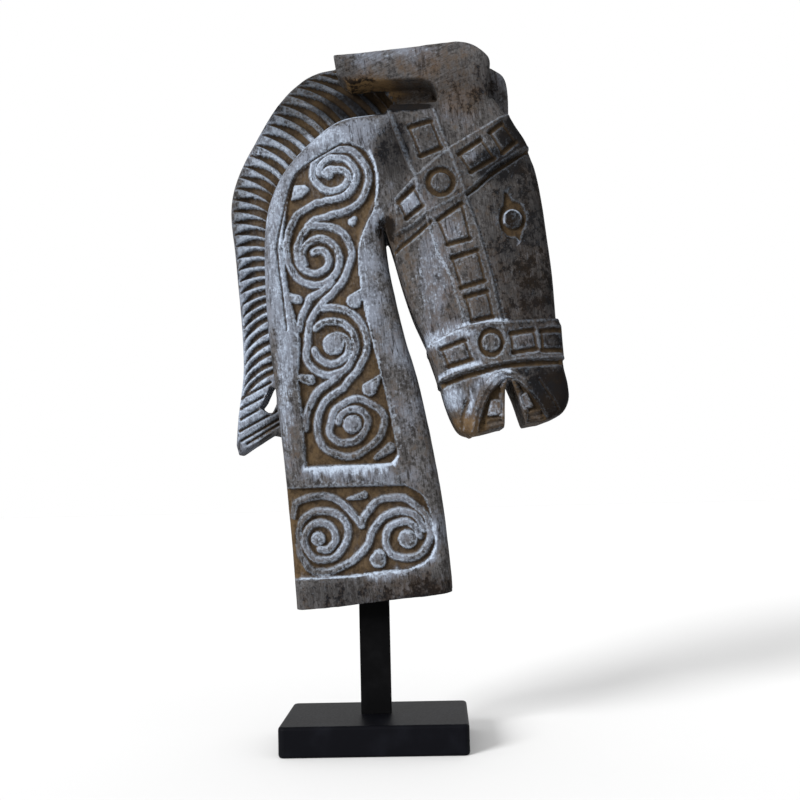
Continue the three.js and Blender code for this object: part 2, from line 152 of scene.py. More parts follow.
outlines = {
    "footLeft": (-47.8, 91), "footMid": (-27, 92.2), "footRight": (53, 100.2),
    "footDrop": 9, "footFlare": 0.6,
    "footBeyond": ((-80, 89), (80, 103)),  # the slant of the foot drawn on past the wood
    "throat": [(52.2, 108), (49.8, 136.7), (46, 170), (41.3, 197.3), (35.2, 229), (30, 250.3), (24.3, 271.6),
               (15.5, 314.6), (12.5, 339)],
    "nape": [(13, 418), (-11, 415.5), (-27, 406.5), (-49, 385), (-62, 361), (-66.5, 330), (-65, 275),
             (-57, 201), (-50.5, 119)],
    "nose": [(102.4, 404.2), (108.6, 393.7), (112.2, 383.4), (115.3, 373.1), (118.9, 349.4), (123, 312.3),
             (124.8, 284)],
    "noseFoot": [(129.2, 243), (131.4, 232.4), (131.4, 222), (126, 213.5), (114, 208.6)],
    "jaw": [(71.7, 202.3), (64, 202.2), (57.5, 207.5), (50.5, 224.7), (45.4, 244.4), (38.6, 264.7), (30, 285),
            (23.6, 305.3), (18.4, 325.6), (12, 347)],
    "notchEnd": [(50.3, 423.5), (51, 430), (47.9, 435.4), (41.4, 438.6)],
    "earTop": [(12, 459.6), (54, 462.8), (66, 463.5), (76, 460.9), (84, 454.8), (86.8, 448), (84.5, 431),
               (86, 415)],
    "forelock": [(96.4, 446.9), (99.2, 437), (99.4, 422.2), (98.4, 407.3)],
    "maneTail": (-89.8, 199),
    "mane": [(-88.2, 220), (-84.7, 250), (-85.5, 285), (-88.4, 321), (-91.5, 357), (-87.3, 381),
             (-75.3, 404.7), (-58.4, 432.1), (-41.5, 448.5), (-29.1, 454.4), (-18.7, 456)],
    "maneHole": [(-66, 238.5), (-62, 236), (-62, 226), (-65, 220), (-69, 220.5), (-74, 224), (-71, 228)],
    "mouthSlit": [(104.5, 195), (102.9, 210), (98, 226), (94, 236.5), (91.5, 236.5), (89.8, 230), (89, 207),
                  (88.7, 195)],
    # stretches between those, mostly hidden in the next mass
    "neckJoin": [(24, 352), (46, 372), (46, 400), (32, 418)],
    "faceJoin": [(27, 376), (13, 415), (20, 424), (88, 426), (98.5, 411.5)],
    "noseBand": [(125.2, 276), (127.6, 271), (128.4, 251.5)],
    "lips": [(101, 207), (87, 205.5)],
    "earStart": (32, 404), "earNotch": [(36, 417.5), (44.8, 419)],
    "earTip": [(4, 438.2), (-6.3, 436.5), (-15.5, 443.7), (-17.6, 457.3)],
    "earJoin": [(88, 398), (60, 392)],
    "maneStart": (88, 453.4),
    "maneJoin": [(60, 404), (12, 404), (-20, 394), (-45, 365), (-52, 330), (-50, 275), (-46, 203)],
    "maneFoot": [(-60, 204.2), (-66, 206), (-88, 192)],
}


def headMasses():
    o, m = outlines, masses
    low = o["footLeft"][1] - o["footDrop"]
    neckPath = outline((o["footLeft"][0] - o["footFlare"], low),
                       ("line", [(o["footRight"][0], low), o["throat"][0]]), ("curve", o["throat"][1:]),
                       ("line", o["neckJoin"]), ("curve", o["nape"]))
    facePath = outline(o["jaw"][-1], ("line", o["faceJoin"]), ("curve", o["nose"]), ("line", o["noseBand"]),
                       ("curve", o["noseFoot"]), ("line", o["lips"]), ("curve", o["jaw"][:-1]))
    earPath = outline(o["earStart"], ("line", o["earNotch"]), ("curve", o["notchEnd"]), ("line", o["earTip"]),
                      ("curve", o["earTop"]), ("line", o["earJoin"]))
    manePath = outline(o["maneStart"], ("curve", o["forelock"]),
                       ("line", [*o["maneJoin"], *o["maneFoot"], o["maneTail"]]), ("curve", o["mane"]))
    neck = slabObject("neck", neckPath, m["neckHalf"], m["neckRound"])
    left, right = o["footBeyond"]
    through = m["cutHalf"]
    below = [(left[0], m["cutUnder"]), left, o["footLeft"], o["footMid"], o["footRight"], right,
             (right[0], m["cutUnder"])]
    cutAway(neck, prismObject("foot", below, -through, through))
    face = slabObject("face", facePath, m["faceHalf"], m["faceRound"])
    crown = slabObject("crown", earPath, m["earHalf"], m["earRound"])
    crest = slabObject("crest", manePath, m["maneHalf"], m["maneRound"])
    back, front = m["slotEnds"]
    slot = [(back, m["slotTop"]), (back, m["slotFloor"]), (front, m["slotFloor"]), (front, m["slotTop"])]
    cutAway(crown, prismObject("slot", slot, -m["slotHalf"], m["slotHalf"]))
    cutAway(crest, prismObject("hole", o["maneHole"], -through, through))
    cutAway(face, prismObject("slit", o["mouthSlit"], -through, through))
    bm = bmesh.new()
    for part in (neck, face, crown, crest):
        bm.from_mesh(part.data)
        discard(part)
    return meshObject("carvedHead", bm)


def fused(piece):  # one skin over the overlapping masses
    skin = piece.modifiers.new("skin", "REMESH")
    skin.mode = "VOXEL"
    skin.voxel_size = masses["voxel"] * mm
    skin.adaptivity = 0
    ease = piece.modifiers.new("ease", "SMOOTH")
    ease.factor = masses["ease"]
    ease.iterations = masses["easeRounds"]
    old = piece.data
    piece.data = applied(piece)
    piece.modifiers.clear()
    bpy.data.meshes.remove(old)
    return piece


# measuring in the carved faces, on arrays of x and z
def lineDistance(x, z, path, closed=False):
    ends = list(path) + ([path[0]] if closed else [])
    best = np.full(x.shape, 1e9)
    for (x0, z0), (x1, z1) in zip(ends, ends[1:]):
        dx, dz = x1 - x0, z1 - z0
        t = np.clip(((x - x0) * dx + (z - z0) * dz) / max(dx * dx + dz * dz, 1e-9), 0, 1)
        np.minimum(best, (x - x0 - t * dx) ** 2 + (z - z0 - t * dz) ** 2, out=best)
    return np.sqrt(best)


def inside(x, z, path):
    odd = np.zeros(x.shape, bool)
    for (x0, z0), (x1, z1) in zip(path, path[1:] + path[:1]):
        if z0 != z1:
            crosses = (z0 > z) != (z1 > z)
            odd ^= crosses & (x < (x1 - x0) * (z - z0) / (z1 - z0) + x0)
    return odd


def signedInside(x, z, path):
    reach = lineDistance(x, z, path, closed=True)
    return np.where(inside(x, z, path), reach, -reach)


def ramp(value, low, high):
    t = np.clip((value - low) / (high - low), 0, 1)
    return t * t * (3 - 2 * t)


scroll = {
    "depth": 3.1,
    "ridgeFoot": 3.3, "roundness": 2.1,  # half width of a ridge at the floor, power of its section
    "sway": 0.3, "swayLength": 9, "swaySeed": 11,  # cut by hand
    "ledge": 1.8, "ledgeFrom": 2, "ledgeTo": 6,  # the foot of a field slopes more gently
    # where a slope starts and ends, across the line that it follows
    "wall": (-0.2, 1.1), "beadEdge": (-1.1, 0.7), "leafEdge": (-0.6, 0.8),
    "borderGroove": (1.3, 1.7), "rimRidge": (1.8, 0.7),  # half width and depth
    "middle": -15, "reach": 62,  # both fields lie within this of the middle
    "fieldCorner": (16, 182.8), "bandStart": [(-60, 169.5), (-60, 109.4), (-10, 111.3), (7.4, 114.4)],
    "fieldBack": [(-7, 397.5), (-13.1, 397), (-22.1, 393.3), (-33.9, 385.2), (-44.5, 376), (-49.2, 364.4),
                  (-52, 349.9), (-54, 331), (-52.5, 312), (-50, 295), (-45.5, 277), (-43.6, 262), (-45, 240),
                  (-42.5, 215), (-41, 182)],
    "borderLine": [(-13.1, 397), (-33.9, 385.2), (-44.5, 376), (-49.2, 364.4), (-53, 349.9), (-56.9, 331),
                   (-56.6, 317.6), (-54.6, 300.8), (-51.7, 273)],
    "fieldFront": [(19.5, 190), (15.5, 215), (11.4, 235), (3.1, 271), (-0.8, 291), (-3.4, 314.5), (-2.6, 328),
                   (3, 343), (8.3, 354), (9.4, 371), (8, 382.5), (2, 392.5), (-7, 396.6)],
    "rim": [(5.6, 390.6), (8.8, 383.8), (10.4, 370), (10.5, 362.4), (5.9, 353.5), (1.3, 344.7), (-2.2, 333.6),
            (-4.3, 327)],
    "leaf": [(-45.2, 369.8), (-38, 369.9), (-34.7, 366.7), (-39.8, 361.5), (-47.6, 359.2), (-46.4, 364.8)],
    "bandEnd": [(23.8, 114.7), (35.8, 120), (41, 127), (42.4, 134.3), (38.6, 155.3), (33.4, 164.4),
                (23, 170.2)],
}

spirals = {"a": (-20.5, 375.5), "b": (-30.7, 319.8), "c": (-21.1, 263.1), "d": (-10.5, 209.5),
           "e": (-32.4, 136), "f": (24.8, 134.5)}

ridgeStep = 10  # degrees between the points worked out along a ridge
joinPieces = 6  # pieces of the bend from one spiral into the next

# a ridge runs through the spirals named: angle in degrees clockwise from the left, radius
ridges = [
    [("a", 16, 4.5), ("a", 121, 4.2), ("a", 190, 12), ("a", 247, 10.5), ("a", 317, 10.4), ("a", 372, 12.8),
     ("a", 420, 15.2), ("a", 452, 17.2), ("a", 502, 22.3), ("a", 549, 25), ("a", 597, 26.1), ("a", 629, 26.2),
     ("a", 650, 31.3), ("b", 74, 22), ("b", 60, 19.4), ("b", 44, 16.6), ("b", 0, 13), ("b", -60, 10.4),
     ("b", -120, 8.4), ("b", -204, 7), ("b", -301, 5)],
    [("a", 12, 8), ("a", 45, 9.7), ("a", 106, 12.4), ("a", 136, 14.9), ("a", 179, 16.6), ("a", 258, 16.3),
     ("a", 283, 17.1), ("a", 300, 21), ("a", 311, 32.8), ("b", 56, 29.1), ("b", 35, 24.3), ("b", 6, 20.1),
     ("b", -27, 18.2), ("b", -80, 17.9), ("b", -125, 16.2), ("b", -180, 14.5), ("b", -255, 13.9),
     ("b", -308, 12), ("b", -380, 9.2)],
    [("b", 75, 23), ("b", 92, 22), ("b", 136, 24.2), ("b", 166, 23.3), ("b", 203, 21.3), ("b", 238, 23.4),
     ("b", 261, 28.3), ("c", 74, 26.8), ("c", 53, 22.3), ("c", 24, 18.2), ("c", 3, 17), ("c", -37, 20.8),
     ("c", -71, 21.3), ("c", -104, 19.1), ("c", -143, 15.6), ("c", -190, 14.4), ("c", -268, 15),
     ("c", -318, 15.6)],
    [("b", 239, 18.1), ("b", 256, 20.5), ("b", 280, 26.1), ("c", 57, 30.9), ("c", 37, 26.8), ("c", 25, 25)],
    [("c", -17, 13.3), ("c", -80, 13.4), ("c", -125, 12), ("c", -170, 10.3), ("c", -250, 6)],
    [("c", 75, 24.5), ("c", 113, 23.6), ("c", 170, 22), ("c", 212, 22.2), ("c", 240, 24.7), ("c", 267, 31.7),
     ("d", 46, 22.6), ("d", 9, 22), ("d", -35, 23.1), ("d", -69, 21.2), ("d", -127, 18.8), ("d", -170, 20.9)],
    [("c", 254, 18.9), ("c", 269, 22.9), ("c", 281, 27), ("d", 49, 31.1), ("d", 18, 29.9), ("d", -4, 29.8)],
    [("d", 190, 20.9), ("d", 167, 22.3), ("d", 128, 18.5), ("d", 62, 14.7), ("d", 8, 13.1), ("d", -20, 15.2),
     ("d", -56, 13.7), ("d", -80, 11.5), ("d", -150, 9.6), ("d", -214, 11.4), ("d", -300, 9.5),
     ("d", -345, 8.6)],
    [("e", 270, 6), ("e", 222, 8.6), ("e", 174, 10.2), ("e", 127, 11), ("e", 22, 9.9), ("e", -34, 10.5),
     ("e", -87, 13.1), ("e", -152, 15.7), ("e", -217, 20.2), ("e", -272, 18.2), ("e", -316, 16.3),
     ("e", -357, 13.6), ("e", -407, 16.6), ("e", -440, 20.9), ("e", -485, 22.7), ("e", -513, 26.3),
     ("f", 1, 24.9), ("f", 33, 21.8), ("f", 64, 20.1), ("f", 95, 17.3), ("f", 145, 12.1)],
    [("e", 42, 23.5), ("e", 55, 27.9), ("e", 107, 27.9), ("e", 142, 26.9), ("e", 163, 28.4)],
    [("f", 20, 32.2), ("f", 50, 32), ("f", 76, 28.3), ("f", 117, 20.7), ("f", 153, 15.3), ("f", 207, 12),
     ("f", 263, 11.5), ("f", 347, 14.7), ("f", 389, 14.3), ("f", 439, 11.9), ("f", 493, 8.6),
     ("f", 520, 7.4)],
]

# the eyes of the spirals and the leaves between: one end, its radius, the other end, its radius
beads = [
    ((-22.4, 376.6), 3.4, (-22, 376.6), 3.4), ((-21.1, 263.1), 7.4, (-21, 263.1), 7.4),
    ((-9.8, 210), 6.4, (-9.7, 210), 6.4), ((-33.4, 136.4), 4.6, (-33.3, 136.4), 4.6),
    ((24.6, 135.1), 6.2, (24.7, 135.1), 6.2), ((-7.2, 344.1), 2.8, (-5.5, 346.5), 1.6),
    ((-6.8, 291.2), 5.1, (0.6, 299.4), 1.7), ((-50, 295), 3, (-44, 293.2), 3.2),
    ((1.8, 232.8), 4.9, (9, 241), 1.4), ((-43.2, 241.4), 2.2, (-37, 239.6), 3.6),
    ((4.8, 187.6), 1.5, (14.6, 194.2), 3.4), ((5.1, 122.1), 5.4, (6, 125), 4),
    ((-13.4, 161.6), 1.2, (-3.2, 163.8), 2.7),
]


def ridgePath(stops):
    legs = []  # one run of points for each spiral
    for i, (name, angle, radius) in enumerate(stops):
        if i == 0 or stops[i - 1][0] != name:
            legs.append([])
        last = i + 1 == len(stops) or stops[i + 1][0] != name
        nextAngle, nextRadius = (angle, radius) if last else stops[i + 1][1:]
        pieces = max(round(abs(nextAngle - angle) / ridgeStep), 1)
        for k in range(pieces):
            bend = math.radians(angle + (nextAngle - angle) * k / pieces)
            reach = radius + (nextRadius - radius) * ramp(k / pieces, 0, 1)
            cx, cz = spirals[name]
            legs[-1].append(np.array((cx - reach * math.cos(bend), cz + reach * math.sin(bend))))
    path = legs[0]
    for leg in legs[1:]:  # an even bend from one spiral into the next
        p0, p1 = path[-1], leg[0]
        span = np.linalg.norm(p1 - p0)
        d0 = span * (p0 - path[-2]) / np.linalg.norm(p0 - path[-2])
        d1 = span * (leg[1] - p1) / np.linalg.norm(leg[1] - p1)
        for k in range(1, joinPieces):
            t = k / joinPieces
            path.append(p0 * (2 * t ** 3 - 3 * t ** 2 + 1) + d0 * (t ** 3 - 2 * t ** 2 + t)
                        + p1 * (3 * t ** 2 - 2 * t ** 3) + d1 * (t ** 3 - t ** 2))
        path += leg
    return path


lattice = {"x": 374761393, "y": 668265263, "z": 2147483647, "seed": 974711, "mix": 1274126177}


def hashNoise(x, y, z, seed):  # smooth value noise in -1..1
    cell = [np.floor(v).astype(np.int64) for v in (x, y, z)]
    part = [v - c for v, c in zip((x, y, z), cell)]
    part = [t * t * (3 - 2 * t) for t in part]

    def corner(i, j, k):
        n = (cell[0] + i) * lattice["x"] + (cell[1] + j) * lattice["y"] + (cell[2] + k) * lattice["z"]
        n = n + seed * lattice["seed"]
        n = (n ^ (n >> 13)) * lattice["mix"]
        n = (n ^ (n >> 16)) & 0xFFFF
        return n / 32767.5 - 1
    total = 0
    for i in (0, 1):
        for j in (0, 1):
            for k in (0, 1):
                share = (part[0] if i else 1 - part[0]) * (part[1] if j else 1 - part[1])
                share = share * (part[2] if k else 1 - part[2])
                total = total + share * corner(i, j, k)
    return total


def scrollDepth(x, z):
    s = scroll
    field = curveThrough(s["fieldBack"]) + [s["fieldCorner"]] + curveThrough(s["fieldFront"])[:-1]
    band = s["bandStart"] + curveThrough(s["bandEnd"])
    depth = np.zeros(x.shape)
    for path, names in ((field, "abcd"), (band, "ef")):
        foot, top = min(p[1] for p in path), max(p[1] for p in path)
        near = (np.abs(x - s["middle"]) < s["reach"]) & (z > foot - 2) & (z < top + 2)
        px, pz = x[near], z[near]
        ledge = s["ledge"] * (1 - ramp(pz - foot, s["ledgeFrom"], s["ledgeTo"]))
        sunk = ramp(signedInside(px, pz, path), s["wall"][0], s["wall"][1] + ledge)
        ridge = np.zeros(px.shape)
        sway = s["sway"] * hashNoise(px / s["swayLength"], 0 * px, pz / s["swayLength"], s["swaySeed"])
        for stops in ridges:
            if stops[0][0] in names:
                away = lineDistance(px + sway, pz - sway, ridgePath(stops))
                ridge = np.maximum(ridge, 1 - np.clip(away / s["ridgeFoot"], 0, 1) ** s["roundness"])
        for start, first, end, last in beads:
            reach = np.subtract(end, start)
            t = np.clip(((px - start[0]) * reach[0] + (pz - start[1]) * reach[1]) / (reach @ reach), 0, 1)
            away = np.hypot(px - start[0] - t * reach[0], pz - start[1] - t * reach[1]) + sway
            ridge = np.maximum(ridge, 1 - ramp(away - first - t * (last - first), *s["beadEdge"]))
        if names == "abcd":
            ridge = np.maximum(ridge, ramp(signedInside(px, pz, s["leaf"]), *s["leafEdge"]))
        depth[near] = np.maximum(depth[near], s["depth"] * sunk * (1 - ridge))
    border, rim = (lineDistance(x, z, curveThrough(s[name])) for name in ("borderLine", "rim"))
    return np.maximum(depth, grooveDepth(border, *s["borderGroove"])) - grooveDepth(rim, *s["rimRidge"])


def grooveDepth(away, halfWidth, depth):
    return depth * (1 - ramp(away, halfWidth * 0.15, halfWidth))


bridle = {
    "edge": 0.9, "edgeShift": 0.6,  # half the width of a strap's sloping edge, and how far out it lies
    "rim": 0.6, "rimFrom": 0.5, "rimTo": 1.7,  # rise of the line along a strap's edge, and where it fades
    "pointDepth": 2.6, "pointEdge": (-0.4, 1.2),
    "roundDepth": 2.8, "roundInner": (-0.3, 0.25), "roundOuter": (0.75, 1.45),
    "squareReach": 20, "roundReach": 16,  # no cut of a square or a boss goes further from its centre
    "level": (2.9, 2.8), "upright": (1.7, 1.6),  # half width and depth of the grooves round a square
    "straps": [  # rise, then the two edges
        (1.5, [(19.5, 416), (34, 376), (41, 350), (48, 322), (57, 304), (67, 266)],
         [(48.6, 417), (54.4, 399), (66, 365), (75, 336), (83.5, 304), (90, 266)]),
        (2.2, [(22, 357), (36, 372.5), (59, 391), (91, 409), (104, 416)],
         [(22, 334), (33, 339.5), (42, 347.5), (69.5, 361), (87, 376.5), (118, 395)]),
        (2.2, [(36, 257), (55, 266.5), (68, 271.5), (81, 273), (106, 274), (138, 275)],
         [(42, 233.5), (62, 241.8), (79, 246.3), (104, 249.6), (140, 249.8)]),
    ],
    "grooves": [  # half width, depth, route
        (2.3, 2.2, [(68.9, 359.3), (76.2, 364.4), (84.3, 371.2), (97.7, 379.8), (116, 391.5)]),
        (2.4, 1.9, [(18, 320.5), (32.8, 331.5), (45, 342)]),
        (3.3, 2.5, [(42, 230.7), (61.9, 238.2), (75.9, 241.8), (90.9, 245.2), (103.9, 246.2), (134, 247.4)]),
        (1.0, 0.9, [(43, 346), (49, 322), (57.5, 304), (68, 268)]),
        (1.1, 1.0, [(68.5, 359), (76, 336), (84.3, 304), (91, 273)]),
        (1.6, 1.3, [(112, 236), (120.6, 222.5), (124, 216)]),
        (2.4, 1.5, [(65.2, 222.1), (62.1, 212.9), (60.9, 203)]),
    ],
    "points": [  # above and below the eye
        [(92.4, 350), (92.9, 360.4), (95.6, 360.2), (99.6, 351.5)],
        [(97.6, 332.5), (102.6, 326.6), (104.6, 333)],
    ],
    "rims": [  # half width, rise, route
        (2.9, 2.2, [(19.6, 417), (24.9, 400.8), (32.6, 379), (34.5, 373.6)]),
        (2.3, 1.5, [(67.4, 202), (71, 217.3), (75, 227.4), (81.3, 236.1), (88, 241), (95.4, 241),
                    (102, 236.5)]),
        (4.5, 1.3, [(55.5, 226.5), (58.5, 225)]),
    ],
}

# framed squares: the corners of the groove round each pad
squares = [
    [(32, 405.3), (46.5, 409.2), (52.8, 390.9), (39.1, 385.6)],
    [(49.4, 342.6), (65.1, 352.8), (69.8, 329.3), (55.3, 326.1)],
    [(58.1, 316.8), (74.4, 321.7), (78.7, 301.3), (63.4, 297)],
    [(66, 291), (79.9, 294.3), (83.3, 277.4), (69.6, 274.6)],
    [(64.4, 385.8), (78.8, 395), (87.3, 382.1), (71.8, 373.6)],
    [(85.2, 399.5), (92.9, 405.3), (101.4, 392.6), (93, 385.6)],
    [(23.8, 354.8), (33.9, 364.5), (39.5, 352.3), (28.8, 344)],
    [(49.4, 257.1), (64.3, 262.5), (68.6, 249.8), (54, 245.7)],
    [(94.5, 265.9), (109.2, 267.8), (110.8, 255.5), (95.8, 253.4)],
    [(114.3, 267), (128.5, 267.8), (129, 254.4), (114.9, 254.5)],
]

# bosses and the eye: centre x, z, radius of the knob, half width and half height of the groove round it
rounds = [(51.9, 367.6, 6.3, 9.8, 9.8), (81.8, 260.6, 6.0, 8.4, 9.6), (98.2, 341.9, 6.4, 8.5, 11.2)]


def strapRims(x, z):
    rims = np.zeros(x.shape)
    for _, *edges in bridle["straps"]:
        for edge in edges:
            rims = np.maximum(rims, 1 - ramp(lineDistance(x, z, edge), bridle["rimFrom"], bridle["rimTo"]))
    return rims


def bridleLift(x, z):
    lift = np.zeros(x.shape)
    edge, shift = bridle["edge"], bridle["edgeShift"]
    for height, first, second in bridle["straps"]:
        within = signedInside(x, z, first + second[::-1])
        lift = np.maximum(lift, height * ramp(within, -edge - shift, edge - shift))
    lift += bridle["rim"] * strapRims(x, z)
    for half, rise, route in bridle["rims"]:
        lift += grooveDepth(lineDistance(x, z, curveThrough(route)), half, rise)
    return lift


def bridleCuts(x, z):
    depth = np.zeros(x.shape)
    for half, deep, route in bridle["grooves"]:
        depth += grooveDepth(lineDistance(x, z, curveThrough(route)), half, deep)
    for corners in bridle["points"]:
        point = ramp(signedInside(x, z, corners), *bridle["pointEdge"])
        depth = np.maximum(depth, bridle["pointDepth"] * point)
    for corners in squares:
        cx, cz = np.mean(corners, axis=0)
        near = np.hypot(x - cx, z - cz) < bridle["squareReach"]
        around = np.zeros(near.sum())
        for k, edge in enumerate(zip(corners, corners[1:] + corners[:1])):
            cut = grooveDepth(lineDistance(x[near], z[near], edge), *bridle["upright" if k % 2 else "level"])
            around = np.maximum(around, cut)
        depth[near] += around
    for cx, cz, knob, wide, high in rounds:
        near = np.hypot(x - cx, z - cz) < bridle["roundReach"]
        u, v = x[near] - cx, z[near] - cz
        angle = np.arctan2(v, u)
        outer = wide * high / np.hypot(high * np.cos(angle), wide * np.sin(angle))
        t = (np.hypot(u, v) - knob) / (outer - knob)  # 0 at the knob, 1 at the outer edge of the groove
        groove = bridle["roundDepth"] * ramp(t, *bridle["roundInner"]) * (1 - ramp(t, *bridle["roundOuter"]))
        depth[near] = np.maximum(depth[near], groove)
    return depth


mouth = {
    "arch": [(71.4, 203), (74.2, 216.3), (79.2, 227.3), (85, 234.1), (90.6, 237.7), (98, 235.6),
             (106.1, 228.9), (113.1, 219.4), (118.5, 205)],
    "below": [(120, 190), (71, 190)],
    "back": 60, "front": 130, "top": 245,  # the part of the head that it is looked for in
    "depth": 5.0, "wall": (-0.3, 1.8), "toothEdge": (-0.6, 1.0),
    "teeth": [  # rise and corners
        (3.0, [(80.5, 223.5), (88.4, 224.3), (89.1, 213.6), (77.8, 212.5)]),
        (3.0, [(96.5, 225.9), (104.2, 228), (108.9, 218.1), (99.2, 216.5)]),
        (1.8, [(77.3, 209.7), (88.9, 210.8), (88.8, 200), (76.2, 200)]),
        (1.8, [(100.2, 214.2), (113, 216.2), (115.1, 209.6), (101.1, 204)]),
    ],
}


def mouthDepth(x, z):
    arch = curveThrough(mouth["arch"], 5) + mouth["below"]
    near = (x > mouth["back"]) & (x < mouth["front"]) & (z < mouth["top"])
    depth = np.zeros(x.shape)
    px, pz = x[near], z[near]
    recess = mouth["depth"] * ramp(signedInside(px, pz, arch), *mouth["wall"])
    for rise, tooth in mouth["teeth"]:
        recess -= rise * ramp(signedInside(px, pz, tooth), *mouth["toothEdge"]) * (recess > 1)
    depth[near] = recess
    return depth


maneLocks = {
    "count": 35, "first": 0.35, "width": 6.6, "depth": 3.8, "inset": 1.0, "overlap": 3, "bow": 0.13,
    "levelAt": 330, "fan": 60, "steepest": 38, "upperShare": 0.9,  # locks rise below that level, fall above
    "tip": 0.1, "widens": (-0.15, 0.5), "tipDepth": 0.4, "deepens": (0, 0.35),  # pointed at the outer edge
    "section": 3,  # power of a lock's hollow, higher is squarer
    "fineAt": 240, "broadAt": 340, "fineShare": 0.72,  # finer towards the tail
    "tailTop": 223,  # below it the tail has straight grooves of its own
    "tailGroove": (1.9, 2.4),  # half width and depth
    "tailGrooves": [
        ((-86.2, 230.5), (-66, 241)), ((-86.5, 223.5), (-70, 232)), ((-86.4, 216.5), (-67.6, 226.6)),
        ((-86.9, 208.7), (-62.3, 221.4)), ((-86.1, 202.2), (-60.6, 216)), ((-82.2, 200), (-60, 212.8)),
    ],
}


def maneDepth(x, z):
    m = maneLocks
    outer = curveThrough([outlines["maneTail"], *outlines["mane"]], 8)
    lengths = np.cumsum([0] + [math.dist(p, q) for p, q in zip(outer, outer[1:])])
    nape = np.array(curveThrough(outlines["nape"], 8))
    depth = np.zeros(x.shape)
    for i in range(m["count"]):
        at = lengths[-1] * (i + m["first"]) / m["count"]
        start = np.array([np.interp(at, lengths, [p[k] for p in outer]) for k in (0, 1)])
        if start[1] < m["tailTop"]:
            continue
        rise = np.clip((m["levelAt"] - start[1]) / m["fan"], -1, 1) * m["steepest"]
        slope = math.radians(rise * m["upperShare"] if start[1] > m["levelAt"] else rise)
        along = np.array([math.cos(slope), math.sin(slope)])
        offset = nape - start
        miss = np.abs(offset[:, 0] * along[1] - offset[:, 1] * along[0])
        length = float((offset @ along)[miss.argmin()]) + m["overlap"]
        origin = start + along * m["inset"]
        near = np.hypot(x - start[0] - along[0] * length / 2, z - start[1] - along[1] * length / 2) < length
        u = (x[near] - origin[0]) * along[0] + (z[near] - origin[1]) * along[1]
        v = (z[near] - origin[1]) * along[0] - (x[near] - origin[0]) * along[1]
        t = np.clip(u / length, 0, 1)
        v -= m["bow"] * length * 4 * t * (1 - t)  # each lock curves
        broad = m["fineShare"] + (1 - m["fineShare"]) * ramp(start[1], m["fineAt"], m["broadAt"])
        wide = broad * m["width"] / 2 * (m["tip"] + (1 - m["tip"]) * ramp(t, *m["widens"]))
        section = np.clip(1 - np.abs(v / wide) ** m["section"], 0, 1)
        hollow = broad * m["depth"] * section * (m["tipDepth"] + (1 - m["tipDepth"]) * ramp(t, *m["deepens"]))
        depth[near] = np.maximum(depth[near], np.where((u > 0) & (u < length), hollow, 0))
    for route in m["tailGrooves"]:
        depth = np.maximum(depth, grooveDepth(lineDistance(x, z, route), *m["tailGroove"]))
    return depth


def pointArrays(mesh):
    place, normal = np.empty(len(mesh.vertices) * 3), np.empty(len(mesh.vertices) * 3)
    mesh.vertices.foreach_get("co", place)
    mesh.vertices.foreach_get("normal", normal)
    return place.reshape(-1, 3) / mm, normal.reshape(-1, 3)


# where each kind of carving may lie, and how far a face has to look sideways to be carved
regions = {
    "finSpare": 2.5, "finFoot": 418, "neckTop": 405, "headBack": 18, "headFoot": 195,
    "facing": (0.25, 0.75), "strapRound": 0.5,  # share of a strap's rise that runs on round the edges
}


def reliefDepth(place, normal, lifted):
    x, y, z = place.T
    r = regions
    onFin = (np.abs(y) < masses["maneHalf"] + r["finSpare"]) & ((x < r["headBack"]) | (z > r["finFoot"]))
    onNeck = ~onFin & (z < r["neckTop"])
    onHead = ~onFin & (x > r["headBack"]) & (z > r["headFoot"])
    depth = np.zeros(len(x))
    depth[onNeck] = scrollDepth(x[onNeck], z[onNeck])
    depth[onHead] += bridleCuts(x[onHead], z[onHead]) + mouthDepth(x[onHead], z[onHead])
    depth[onFin] = maneDepth(x[onFin], z[onFin])
    facing = ramp(np.abs(normal[:, 1]), *r["facing"])
    depth *= facing
    if lifted:
        held = r["strapRound"] + (1 - r["strapRound"]) * facing[onHead]
        depth[onHead] -= bridleLift(x[onHead], z[onHead]) * held
    return depth


# waves of the hand-cut surface: height, length across the grain and along it, seed
waves = [(0.35, 17, 30, 3), (0.15, 5, 12, 5)]


def carve(piece):
    place, normal = pointArrays(piece.data)
    x, y, z = place.T
    sway = sum(height * hashNoise(x / across, y / across, z / along, seed)
               for height, across, along, seed in waves)
    place -= normal * (reliefDepth(place, normal, True) + sway)[:, None]
    piece.data.vertices.foreach_set("co", (place * mm).ravel())
    piece.data.update()


def thin(piece):
    faces = sum(len(p.vertices) - 2 for p in piece.data.polygons)
    fewer = piece.modifiers.new("thin", "DECIMATE")
    fewer.ratio = masses["triangles"] / faces


